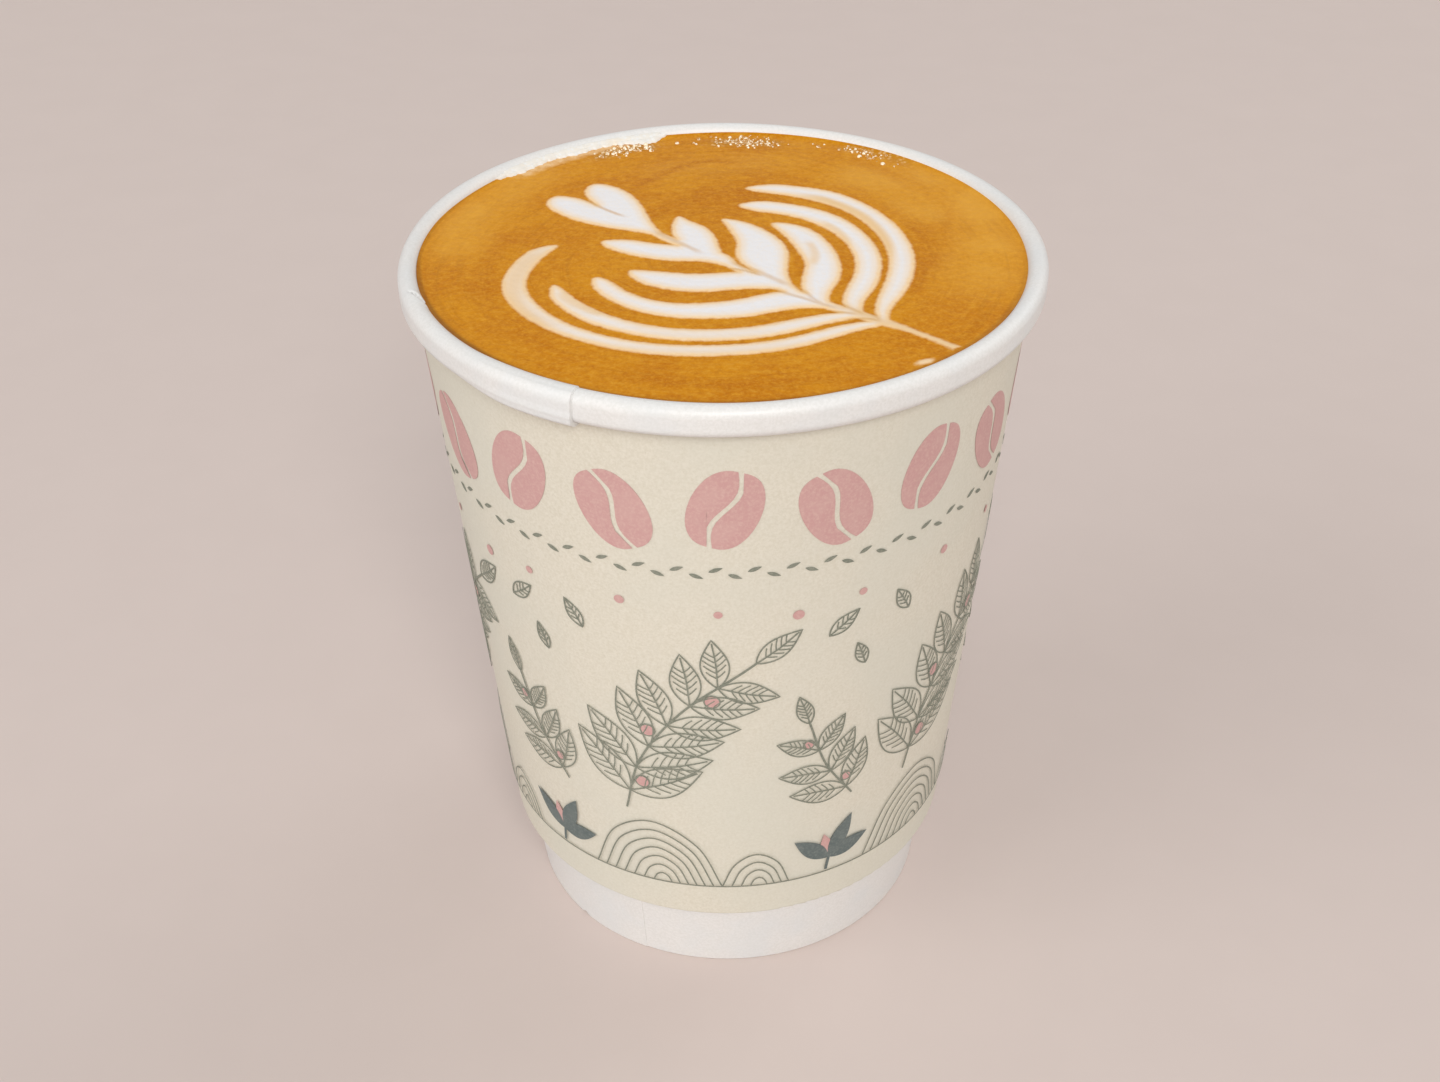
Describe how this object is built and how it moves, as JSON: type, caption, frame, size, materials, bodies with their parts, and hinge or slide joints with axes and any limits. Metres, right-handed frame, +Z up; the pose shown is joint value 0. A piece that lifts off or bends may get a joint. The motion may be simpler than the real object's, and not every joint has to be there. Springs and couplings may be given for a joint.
{
  "type": "cappuccino in a paper cup",
  "caption": "Cappuccino with a poured leaf of milk foam, filling a double-wall paper cup with a rolled rim and a folded foot.",
  "frame": {"origin": "centre of the foot ring on the table", "axes": "+Z up along the cup's axis, -Y towards the printed front, +X to the right as seen from the front"},
  "size_m": [0.09, 0.09, 0.1103],
  "materials": {
    "white_paper": "satin coated paper",
    "printed_paper": "uncoated cream paper with a dusty pink and grey print",
    "crema": "glossy fine foam",
    "foam": "glossy white milk foam"
  },
  "bodies": {
    "root": {"cup_wall": "white_paper", "cup_base": "white_paper", "outer_wrap": "printed_paper", "coffee": "crema", "milk_foam": "foam"}
  },
  "joints": []
}
